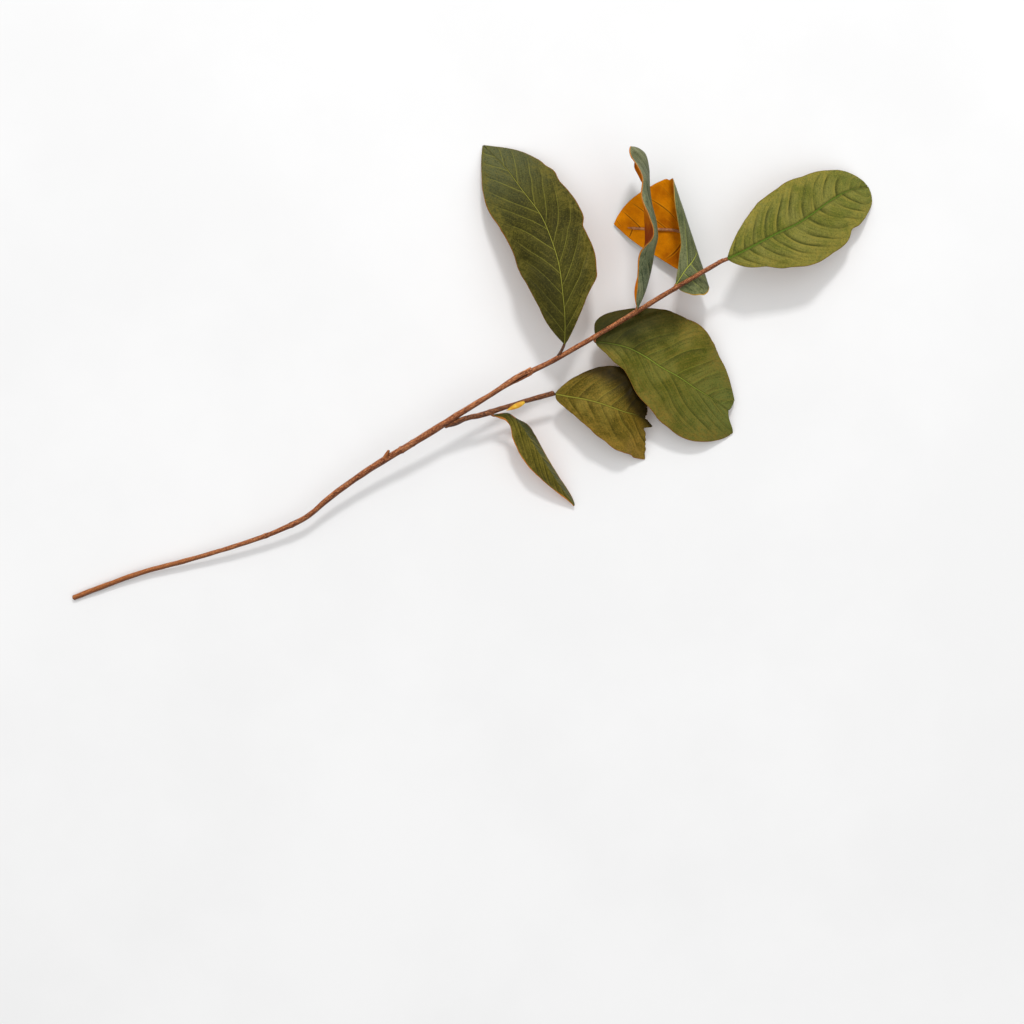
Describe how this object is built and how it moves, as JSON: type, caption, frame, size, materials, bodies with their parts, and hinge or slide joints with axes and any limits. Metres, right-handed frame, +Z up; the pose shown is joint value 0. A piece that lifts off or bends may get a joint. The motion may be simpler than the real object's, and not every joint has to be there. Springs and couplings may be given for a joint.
{
  "type": "magnolia branch",
  "caption": "Cut, dried magnolia branch with glossy leaves, rust-orange undersides, a side twig and a bud, lying on a flat surface.",
  "frame": {"origin": "middle of the underside of the branch's box, on the surface it lies on", "axes": "+X along the branch's length, from its cut end towards its last leaf; +Z up from the surface"},
  "size_m": [0.6789, 0.3873, 0.0851],
  "materials": {
    "bark": "matt cinnamon-brown bark",
    "bud_scale": "satin yellow bud scale",
    "leaf_dark": "satin dark olive, mottled yellow at the margin",
    "leaf_bluish": "glossy blue-green",
    "leaf_rust": "matt orange-rust underside",
    "leaf_pale": "satin yellow-olive",
    "leaf_green": "satin olive green",
    "leaf_ochre": "satin ochre-olive",
    "leaf_folded": "glossy dark green"
  },
  "bodies": {
    "root": {"stem": "bark", "bud": "bud_scale", "leaf_upper": "leaf_dark", "leaf_edge_on": "leaf_bluish", "leaf_rolled": "leaf_rust", "leaf_tip": "leaf_pale", "leaf_broad": "leaf_green", "leaf_twig_end": "leaf_ochre", "leaf_twig_small": "leaf_folded"}
  },
  "joints": []
}
